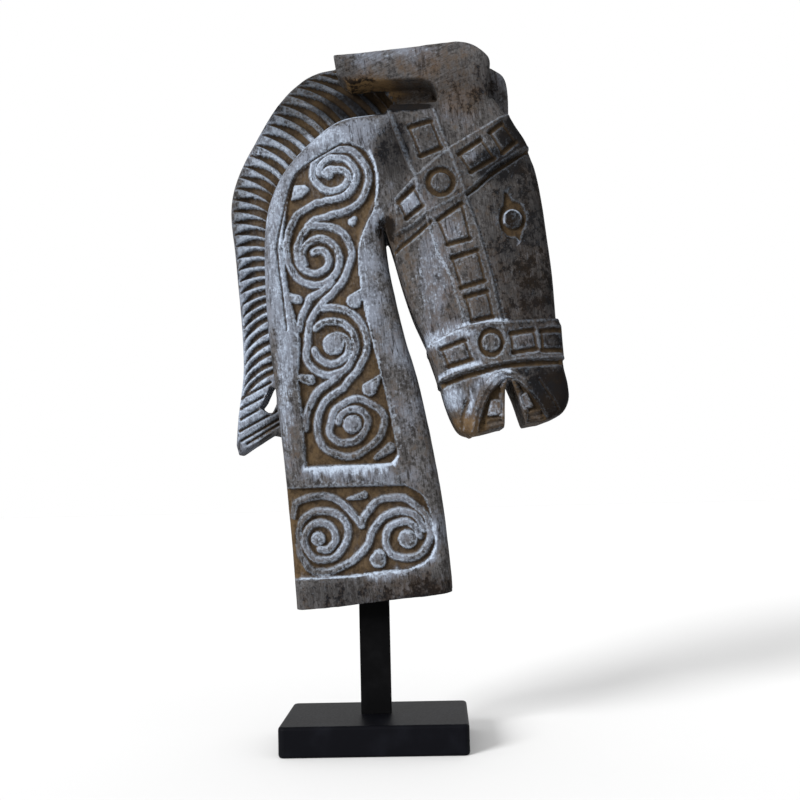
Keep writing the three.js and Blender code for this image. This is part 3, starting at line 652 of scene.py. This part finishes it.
# patches of the weathering: centre x, z, half width, half height, strength
weather = {
    "dark": [
        (97, 432, 14, 30, 0.18), (84, 436, 12, 20, 0.44), (66, 428, 30, 22, 0.36), (103, 399, 17, 15, 1.15),
        (92, 378, 26, 15, 0.85), (112, 345, 18, 50, 0.6), (112, 296, 22, 30, 0.65), (122, 262, 14, 12, 0.7),
        (114, 330, 44, 110, 0.54), (120, 228, 19, 21, 1.1), (98, 342, 6.6, 7.6, 1.3),
        (108, 242, 14, 6, 0.6), (24, 420, 30, 5, 1.2), (0, 100, 62, 14, 0.42), (38, 103, 22, 14, 0.55),
        (-35, 446, 36, 16, 0.42), (-6, 429, 34, 13, 1.2), (20, 333, 12, 12, 0.25), (-62, 425, 24, 26, 0.45),
        (-85, 300, 12, 110, 0.25), (-70, 215, 18, 16, 0.4), (21, 390, 15, 28, 0.62), (15, 338, 9, 10, 0.9),
        (93, 226, 20, 12, 0.5), (80, 300, 12, 40, 0.3), (66, 368, 30, 26, 0.3), (45, 395, 14, 20, 0.25),
    ],
    "warm": [
        (18, 334, 14, 18, 0.6), (28, 296, 10, 44, 0.45), (42, 250, 7, 18, 0.4), (62, 205, 22, 14, 0.95),
        (92, 222, 24, 18, 0.8), (104, 208, 18, 7, 0.6), (2, 435, 44, 8, 1.15), (121, 228, 16, 20, 0.45),
        (70, 300, 18, 60, 0.3), (88, 315, 60, 130, 0.34), (48, 300, 16, 44, 0.4), (20, 106, 50, 12, 0.4),
        (50, 440, 46, 26, 0.5), (68, 424, 22, 16, 0.55), (64, 385, 36, 26, 0.25), (-50, 205, 10, 30, 0.3),
        (24, 200, 14, 40, 0.25),
    ],
    "lime": [
        (-25, 402, 26, 9, 0.75), (-57, 330, 9, 75, 0.6), (-53, 250, 7, 70, 0.6), (-5, 176, 45, 6, 0.24),
        (-20, 300, 40, 110, 0.45), (-22, 374, 36, 26, 0.62), (0, 405, 22, 10, 0.36),
        (-80, 240, 16, 50, 0.75), (25, 250, 12, 60, 0.2), (0, 138, 50, 30, 0.36), (56, 225, 9, 9, 0.7),
        (45, 262, 12, 6, 0.8), (60, 267, 16, 3, 0.8), (84, 258, 46, 14, 0.14), (84, 237, 12, 5, 0.7),
        (83, 218, 6, 7, 0.7), (103, 222, 6, 7, 0.6), (60, 336, 8, 10, 0.28), (32, 353, 7, 8, 0.5),
        (75, 384, 6, 6, 0.4), (44, 305, 14, 34, 0.4), (-75, 300, 14, 110, 0.6), (-62, 400, 18, 30, 0.4),
        (20, 457, 40, 5, 0.35), (10, 345, 6, 14, 0.5),
    ],
    "limeLines": [  # half width, strength, route
        (1.5, 1.2, [(-42, 181.5), (-5, 182.3), (14, 183.4), (19.4, 187.8)]),
        (1.6, 1.0, [(37, 261.3), (46.6, 267.4), (62, 271.9), (71, 274.2), (92.7, 275.2)]),
        (1.8, 1.0, [(43.5, 236), (54.4, 242.2), (74, 247.4)]),
        (2.0, 0.9, [(66, 214), (69.8, 226.3), (77.3, 238.5), (87.6, 243.5), (92.8, 241.3)]),
        (0.8, 0.8, [(101.6, 327), (104.4, 322.4)]),
        (1.1, 1.1, [(92.6, 340), (94, 345.6), (97.4, 348.2), (101.4, 347), (103.8, 343)]),
        (1.6, 0.9, [(-64, 345), (-63.5, 358), (-50, 384), (-28, 405.5), (-11, 414.5), (8, 417)]),
        (1.6, 0.8, [(-45, 112), (-10, 112.6), (20, 115.5), (36, 121), (42, 130), (41.5, 145)]),
        (1.4, 0.8, [(5.6, 391), (10.4, 370), (5.9, 353.5), (-2.2, 333.6), (-4.3, 327)]),
    ],
}

driftwood = {
    "grey": (0.078, 0.0755, 0.076), "paleGrey": (0.125, 0.138, 0.168), "deepGrey": (0.018, 0.0166, 0.0162),
    # the soot colour is also the painted shade in creases and on slopes facing away from the light
    "nearBlack": (0.0048, 0.0047, 0.0053), "sootAndShade": (0.0078, 0.0054, 0.0037), "umber": (0.026, 0.017, 0.0095),
    "brown": (0.055, 0.036, 0.021), "rust": (0.135, 0.083, 0.036), "ochre": (0.064, 0.042, 0.021),
    # chalk colour, also used for the painted highlight on slopes facing the light
    "chalkAndHighlight": (0.30, 0.35, 0.425),
    # scale, detail and roughness of the patterns
    "grain": (900, 5, 0.7), "patches": (45, 5, 0.65), "stains": (170, 5, 0.7), "flecks": (520, 4, 0.7),
    "specks": (1500, 2, 0.6), "cracks": (130, 3, 0.6),
    "grainTurn": -7, "earGrainTurn": 68,  # degrees off upright
    "grainLong": 7, "stainLong": 1.4, "crackLong": 14,  # length of a pattern to its width
    # where each pattern sets in and where it is full
    "mottleRange": (0.4, 0.6), "stainRange": (0.5, 0.68), "paleRange": (0.98, 1.32),
    "rustRange": (0.75, 1.15), "warmRange": (1.05, 1.6), "blotchRange": (0.32, 0.68),
    "gloomRange": (0.5, 0.8), "shadeRange": (0.46, 0.94), "crackRange": (0.004, 0.02),
    "crackedRange": (0.46, 0.62), "earthRange": (0.38, 0.6), "saltRange": (0.6, 0.82),
    "wornRange": (0.58, 0.9),
    # shares of the patterns and marks in each
    "mottleGrain": 0.3, "mottleFleck": 0.3, "mottleStain": 0.4, "paleLime": 0.5, "warmRust": 0.6,
    "blotchStain": 0.45, "blotchFleck": 0.3, "shadeDark": 0.75, "gloomWarm": 0.4,
    "earthStain": 0.7, "earthFleck": 0.3, "saltFleck": 0.5, "saltGrain": 0.5, "saltLime": 0.26,
    "wornEdgeAndHighlight": 0.28, "wornLime": 1.2, "wornBare": 0.25, "bumpSpeck": 0.5,
    # how far each covers the wood
    "stainCover": 0.6, "warmCover": 0.85, "crackCover": 0.75, "grooveCover": 0.95, "grooveSoot": 0.6,
    "paintedShadeCover": 0.6, "saltCover": 0.85, "carvedClean": 0.9, "darkClean": 0.75,
    "roughness": 0.82, "gloss": 0.04,
    "bump": 0.4, "bumpHeight": 0.0007,  # metres
}


def patches(name, x, z):
    total = np.zeros(x.shape)
    for cx, cz, wide, high, strength in weather[name]:
        away = np.hypot((x - cx) / wide, (z - cz) / high)
        total = np.maximum(total, strength * (1 - ramp(away, 0.4, 1.2)))
    return total


def standingOut(mesh, place, normal, rounds):  # how far a point stands out from its surroundings
    ends = np.empty(len(mesh.edges) * 2, np.int32)
    mesh.edges.foreach_get("vertices", ends)
    a, b = ends.reshape(-1, 2).T
    count = len(place)
    degree = np.maximum(np.bincount(a, minlength=count) + np.bincount(b, minlength=count), 1)
    soft = place.copy()
    for _ in range(rounds):
        total = [np.bincount(a, soft[b, k], count) + np.bincount(b, soft[a, k], count) for k in range(3)]
        soft = 0.3 * soft + 0.7 * np.stack(total, 1) / degree[:, None]
    return ((place - soft) * normal).sum(1)


wear = {
    "fineRounds": 3, "broadRounds": 10,  # smoothing that a point's stand-out is measured against
    "maneSpare": 1, "maneCool": 0.85,  # the mane has hardly any rust
    "earGrainRise": (419, 426), "earGrainEnd": (58, 82),  # the ears' grain by height and along x
    "edgeStain": 0.45,  # share of the dark stains that the narrow sides take
    # by how far a face looks sideways
    "stainSide": (0.15, 0.6), "limeSide": (0.2, 0.5), "rimSide": (0.3, 0.6),
    "limeCore": 0.4,  # share of a lime line that is full
    # by the depth of the carving
    "carvedDepth": (0.8, 1.9), "shoulderTop": (0.08, 0.35), "shoulderFoot": (0.8, 1.6),
    "slopeDepth": (0.05, 0.3),
    "toothPale": 0.6, "toothEdge": (-0.2, 0.8),
    # the stand-out that marks a worn edge, and the sink of a crease that takes painted shade
    "edgeStand": (0.1, 0.3), "creaseShadeSink": (0.25, 1.0),
    "rimShare": 0.9, "headEdges": 0.8,
    "towardLight": (-0.45, 0, 0.89),  # painted highlight lies on slopes that look this way, towards the light; painted shade on the others
    "litSlopeHighlight": 1.1, "highlightTilt": (0.2, 0.6), "slopeShade": 0.8, "shadeTilt": (0.2, 0.65),
}


def markWeather(piece):
    w = wear
    mesh = piece.data
    place, normal = pointArrays(mesh)
    x, y, z = place.T
    sideways = np.abs(normal[:, 1])
    fine = standingOut(mesh, place, normal, w["fineRounds"])
    broad = standingOut(mesh, place, normal, w["broadRounds"])
    marks = {name: patches(name, x, z) for name in ("dark", "warm", "lime")}
    onMane = (np.abs(y) < masses["maneHalf"] + w["maneSpare"]) & (x < regions["headBack"])
    marks["warm"] *= 1 - w["maneCool"] * onMane
    marks["along"] = ramp(z, *w["earGrainRise"]) * (1 - ramp(x, *w["earGrainEnd"]))
    marks["dark"] *= w["edgeStain"] + (1 - w["edgeStain"]) * ramp(sideways, *w["stainSide"])
    for half, strength, route in weather["limeLines"]:
        away = lineDistance(x, z, curveThrough(route))
        line = strength * (1 - ramp(away, half * w["limeCore"], half)) * ramp(sideways, *w["limeSide"])
        marks["lime"] = np.maximum(marks["lime"], line)
    depth = reliefDepth(place, normal, False)
    marks["carved"] = ramp(depth, *w["carvedDepth"])
    for _, tooth in mouth["teeth"]:
        marks["carved"] *= 1 - w["toothPale"] * ramp(signedInside(x, z, tooth), *w["toothEdge"])
    shoulder = ramp(depth, *w["shoulderTop"]) * (1 - ramp(depth, *w["shoulderFoot"]))
    marks["edge"] = np.maximum(ramp(fine, *w["edgeStand"]), shoulder)
    head = (x > regions["headBack"]) & (z > regions["headFoot"])
    rims = w["rimShare"] * strapRims(x[head], z[head]) * ramp(sideways[head], *w["rimSide"])
    marks["edge"][head] = np.maximum(marks["edge"][head] * w["headEdges"], rims)
    # painted highlight on carved slopes that face the light, painted shade on those that face away
    lightFacing = normal @ np.array(w["towardLight"])
    sloping = ramp(np.abs(depth), *w["slopeDepth"])
    marks["edge"] = np.maximum(marks["edge"], w["litSlopeHighlight"] * sloping * ramp(lightFacing, *w["highlightTilt"]))
    slopeShading = w["slopeShade"] * sloping * ramp(-lightFacing, *w["shadeTilt"])
    # the hollow mark is painted shade: darker in creases and on slopes facing away from the light
    marks["hollow"] = np.maximum(ramp(-broad, *w["creaseShadeSink"]), slopeShading)
    for name, values in marks.items():
        mesh.attributes.new(name, "FLOAT", "POINT").data.foreach_set("value", values.astype(np.float32))


def carvedHead():
    piece = fused(headMasses())
    print("skin", len(piece.data.vertices), "points")
    carve(piece)
    thin(piece)
    piece.data.polygons.foreach_set("use_smooth", [True] * len(piece.data.polygons))
    markWeather(piece)
    print("carved head thinned to", masses["triangles"], "triangles")
    return piece


# short forms for building shader nodes
def wire(tree, socket, value):
    if isinstance(value, bpy.types.NodeSocket):
        tree.links.new(value, socket)
    else:
        socket.default_value = value


def newMaterial(name):
    material = bpy.data.materials.new(name)
    material.use_nodes = True
    return material, material.node_tree, material.node_tree.nodes["Principled BSDF"]


def mark(tree, name):
    node = tree.nodes.new("ShaderNodeAttribute")
    node.attribute_name = name
    return node.outputs["Fac"]


def reckon(tree, operation, first, second):
    node = tree.nodes.new("ShaderNodeMath")
    node.operation = operation
    wire(tree, node.inputs[0], first)
    wire(tree, node.inputs[1], second)
    return node.outputs[0]


def spread(tree, value, low, high):
    node = tree.nodes.new("ShaderNodeMapRange")
    node.interpolation_type = "SMOOTHSTEP"
    wire(tree, node.inputs["Value"], value)
    node.inputs["From Min"].default_value = low
    node.inputs["From Max"].default_value = high
    return node.outputs["Result"]


def tint(tree, amount, first, second):
    node = tree.nodes.new("ShaderNodeMix")
    node.data_type = "RGBA"
    wire(tree, node.inputs["Factor"], amount)
    for socket, colour in ((node.inputs[6], first), (node.inputs[7], second)):
        wire(tree, socket, (*colour, 1) if isinstance(colour, tuple) else colour)
    return node.outputs[2]


def places(tree, stretch=(1, 1, 1), turn=0):
    spot = tree.nodes.new("ShaderNodeTexCoord")
    mapping = tree.nodes.new("ShaderNodeMapping")
    mapping.vector_type = "TEXTURE"
    mapping.inputs["Scale"].default_value = stretch
    mapping.inputs["Rotation"].default_value = (0, math.radians(turn), 0)
    tree.links.new(spot.outputs["Object"], mapping.inputs["Vector"])
    return mapping.outputs["Vector"]


def noise(tree, where, scale, detail=3, roughness=0.55):
    node = tree.nodes.new("ShaderNodeTexNoise")
    tree.links.new(where, node.inputs["Vector"])
    node.inputs["Scale"].default_value = scale
    node.inputs["Detail"].default_value = detail
    node.inputs["Roughness"].default_value = roughness
    return node.outputs["Fac"]


def bumped(tree, shader, height, strength, distance):
    node = tree.nodes.new("ShaderNodeBump")
    node.inputs["Strength"].default_value = strength
    node.inputs["Distance"].default_value = distance
    tree.links.new(height, node.inputs["Height"])
    tree.links.new(node.outputs["Normal"], shader.inputs["Normal"])


def driftwoodMaterial():
    d = driftwood
    material, tree, shader = newMaterial("driftwood")

    def add(first, second):
        return reckon(tree, "ADD", first, second)

    def times(first, second):
        return reckon(tree, "MULTIPLY", first, second)

    def rest(value):
        return reckon(tree, "SUBTRACT", 1, value)

    def within(value, name):
        return spread(tree, value, *d[name])

    around = places(tree)
    upright, along = (noise(tree, places(tree, (1, 1, d["grainLong"]), turn), *d["grain"])
                      for turn in (d["grainTurn"], d["earGrainTurn"]))
    onEar = mark(tree, "along")
    grain = add(times(along, onEar), times(upright, rest(onEar)))
    patch = noise(tree, around, *d["patches"])
    stain = noise(tree, places(tree, (1, 1, d["stainLong"]), d["grainTurn"]), *d["stains"])
    fleck = noise(tree, around, *d["flecks"])
    speck = noise(tree, around, *d["specks"])
    dark, warm, lime = (mark(tree, name) for name in ("dark", "warm", "lime"))
    carved, edge, hollow = (mark(tree, name) for name in ("carved", "edge", "hollow"))

    # weathered wood, grey to brown, paler where lime lies
    mottle = add(times(grain, d["mottleGrain"]), times(fleck, d["mottleFleck"]))
    mottle = add(mottle, times(stain, d["mottleStain"]))
    wood = tint(tree, within(mottle, "mottleRange"), d["deepGrey"], d["grey"])
    wood = tint(tree, times(within(stain, "stainRange"), d["stainCover"]), wood, d["brown"])
    pale = add(add(patch, mottle), times(lime, d["paleLime"]))
    wood = tint(tree, within(pale, "paleRange"), wood, d["paleGrey"])
    warmth = add(times(warm, d["warmRust"]), add(patch, stain))
    earthy = tint(tree, within(warm, "rustRange"), d["brown"], d["rust"])
    wood = tint(tree, times(within(warmth, "warmRange"), d["warmCover"]), wood, earthy)

    # dark stains and cracks
    blotch = add(times(within(stain, "blotchRange"), d["blotchStain"]),
                 times(within(fleck, "blotchRange"), d["blotchFleck"]))
    shade = add(blotch, times(dark, d["shadeDark"]))
    gloom = within(add(times(warm, d["gloomWarm"]), patch), "gloomRange")
    gloom = tint(tree, gloom, d["nearBlack"], d["sootAndShade"])
    wood = tint(tree, within(shade, "shadeRange"), wood, gloom)
    vein = noise(tree, places(tree, (1, 1, d["crackLong"]), d["grainTurn"]), *d["cracks"])
    crack = reckon(tree, "ABSOLUTE", reckon(tree, "SUBTRACT", vein, 0.5), 0)
    crack = times(rest(within(crack, "crackRange")), within(patch, "crackedRange"))
    wood = tint(tree, times(crack, d["crackCover"]), wood, d["sootAndShade"])

    # earth in the carving; painted shade in the creases and on slopes facing away from the light
    earth = add(times(stain, d["earthStain"]), times(fleck, d["earthFleck"]))
    groove = tint(tree, within(earth, "earthRange"), d["umber"], d["ochre"])
    groove = tint(tree, times(dark, d["grooveSoot"]), groove, d["sootAndShade"])
    wood = tint(tree, times(carved, d["grooveCover"]), wood, groove)
    # painted shade in creases and on slopes facing away from the light
    wood = tint(tree, times(hollow, d["paintedShadeCover"]), wood, d["sootAndShade"])

    # lime on the flats and along worn edges, and a painted highlight in the chalk colour on slopes facing the
    # light
    salt = add(times(fleck, d["saltFleck"]), times(grain, d["saltGrain"]))
    chalky = times(within(add(salt, times(lime, d["saltLime"])), "saltRange"), d["saltCover"])
    # worn edges take chalk, and carved slopes facing the light take a painted highlight
    worn = within(add(fleck, times(edge, d["wornEdgeAndHighlight"])), "wornRange")
    worn = times(worn, add(times(lime, d["wornLime"]), d["wornBare"]))
    chalkAndHighlight = reckon(tree, "MAXIMUM", chalky, worn)
    chalkAndHighlight = times(chalkAndHighlight, rest(times(carved, d["carvedClean"])))
    chalkAndHighlight = times(chalkAndHighlight, rest(times(dark, d["darkClean"])))
    wood = tint(tree, chalkAndHighlight, wood, d["chalkAndHighlight"])
    tree.links.new(wood, shader.inputs["Base Color"])
    shader.inputs["Roughness"].default_value = d["roughness"]
    shader.inputs["Specular IOR Level"].default_value = d["gloss"]
    bumped(tree, shader, add(grain, times(speck, d["bumpSpeck"])), d["bump"], d["bumpHeight"])
    return material


paints = {
    "post": {"colour": (0.0022, 0.0022, 0.0024), "worn": (0.004, 0.004, 0.0044), "roughness": 0.6,
             "gloss": 0.012, "clouds": 60},
    "base": {"colour": (0.0022, 0.0023, 0.0034), "worn": (0.0042, 0.0045, 0.0064), "roughness": 0.45,
             "gloss": 0.032, "clouds": 45},
    "wornRange": (0.45, 0.75), "fineness": 14, "smoother": 0.06, "rougher": 0.08,
    "bump": 0.12, "bumpHeight": 0.0003,  # metres
}


def blackPaint(name, paint):
    material, tree, shader = newMaterial(name)
    around = places(tree)
    cloud = noise(tree, around, paint["clouds"], 4)
    fine = noise(tree, around, paint["clouds"] * paints["fineness"], 2)
    colour = tint(tree, spread(tree, cloud, *paints["wornRange"]), paint["colour"], paint["worn"])
    tree.links.new(colour, shader.inputs["Base Color"])
    rough = tree.nodes.new("ShaderNodeMapRange")
    tree.links.new(fine, rough.inputs["Value"])
    rough.inputs["To Min"].default_value = paint["roughness"] - paints["smoother"]
    rough.inputs["To Max"].default_value = paint["roughness"] + paints["rougher"]
    tree.links.new(rough.outputs["Result"], shader.inputs["Roughness"])
    shader.inputs["Specular IOR Level"].default_value = paint["gloss"]
    bumped(tree, shader, fine, paints["bump"], paints["bumpHeight"])
    return material


stand = {
    "postEdge": 0.5, "topSlope": 0.1, "postSteps": 3,
    "baseCorner": 4, "cornerSteps": 6, "baseEdge": 2, "edgeSteps": 4,
    "upright": 10, "level": 0.001,  # rise that an edge has to have, or to stay under
}


def boxBetween(bm, low, high):
    bmesh.ops.create_cube(bm, size=1)
    bmesh.ops.scale(bm, verts=bm.verts, vec=high - low)
    bmesh.ops.translate(bm, verts=bm.verts, vec=(low + high) / 2)


def softenEdges(bm, edges, width, segments):
    bmesh.ops.bevel(bm, geom=edges, offset=width * mm, offset_type="OFFSET", affect="EDGES",
                    segments=segments, profile=0.5, material=-1)


def edgeRise(edge):
    return abs(edge.verts[0].co.z - edge.verts[1].co.z)


def standingEdges(bm):
    return [edge for edge in bm.edges if edgeRise(edge) > stand["upright"] * mm]


def standBar():
    low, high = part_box("post")
    bm = bmesh.new()
    boxBetween(bm, low, high)
    for corner in bm.verts:  # the top follows the slant of the carving's foot
        if corner.co.z > high.z - mm:
            corner.co.z -= stand["topSlope"] * (high.x - corner.co.x)
    softenEdges(bm, standingEdges(bm), stand["postEdge"], stand["postSteps"])
    return meshObject("standBar", bm)


def standBase():
    low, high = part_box("base")
    bm = bmesh.new()
    boxBetween(bm, low, high)
    softenEdges(bm, standingEdges(bm), stand["baseCorner"], stand["cornerSteps"])
    rims = [edge for edge in bm.edges if edgeRise(edge) < stand["level"] * mm]
    softenEdges(bm, rims, stand["baseEdge"], stand["edgeSteps"])
    return meshObject("standBase", bm)


def finishPiece(piece, node, material):
    piece.data.materials.append(material)
    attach(piece, "root")
    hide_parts(node)


finishPiece(carvedHead(), "carved_head", driftwoodMaterial())
finishPiece(standBar(), "post", blackPaint("post paint", paints["post"]))
finishPiece(standBase(), "base", blackPaint("base paint", paints["base"]))
print("stand made")


light = {
    "world": 1.0,
    "sun": 5, "sunFrom": (-0.66, -0.75, 0.42), "sunAngle": 22,
    "floor": 0.63, "floorRoughness": 0.9, "floorHalf": 8,  # metres
}


def studio():
    world = bpy.data.worlds.new("studio")
    bpy.context.scene.world = world
    world.use_nodes = True
    world.node_tree.nodes["Background"].inputs["Color"].default_value = (1, 1, 1, 1)
    world.node_tree.nodes["Background"].inputs["Strength"].default_value = light["world"]
    sun = bpy.data.lights.new("sun", "SUN")
    sun.energy = light["sun"]
    sun.angle = math.radians(light["sunAngle"])
    lamp = bpy.data.objects.new("sun", sun)
    lamp.rotation_euler = (-Vector(light["sunFrom"])).to_track_quat("-Z", "Y").to_euler()
    bpy.context.scene.collection.objects.link(lamp)
    bm = bmesh.new()
    bmesh.ops.create_grid(bm, x_segments=1, y_segments=1, size=light["floorHalf"])
    floor = meshObject("floor", bm)
    material, _, shader = newMaterial("pale floor")
    shader.inputs["Base Color"].default_value = (light["floor"], light["floor"], light["floor"], 1)
    shader.inputs["Roughness"].default_value = light["floorRoughness"]
    floor.data.materials.append(material)


camera = {
    "place": (45.3, -751.3, 167.1),
    "yaw": -0.0330,  # radians
    "pitch": 0.0802,
    "roll": -0.0241,
    "lens": 50,
    "sensor": 36,
}


def photoCamera():
    c = camera
    data = bpy.data.cameras.new("camera")
    data.lens = c["lens"]
    data.sensor_width = c["sensor"]
    forward = Vector((math.sin(c["yaw"]) * math.cos(c["pitch"]), math.cos(c["yaw"]) * math.cos(c["pitch"]),
                      math.sin(c["pitch"])))
    right = Vector((math.cos(c["yaw"]), -math.sin(c["yaw"]), 0))
    up = right.cross(forward)
    tiltedRight = math.cos(c["roll"]) * right + math.sin(c["roll"]) * up
    tiltedUp = math.cos(c["roll"]) * up - math.sin(c["roll"]) * right
    turn = Matrix((tiltedRight, tiltedUp, -forward)).transposed().to_4x4()
    eye = bpy.data.objects.new("camera", data)
    eye.matrix_world = Matrix.Translation(Vector(c["place"]) * mm) @ turn
    bpy.context.scene.collection.objects.link(eye)
    bpy.context.scene.camera = eye


studio()
photoCamera()
print("light and camera set")
bpy.context.scene.view_settings.view_transform = "Standard"
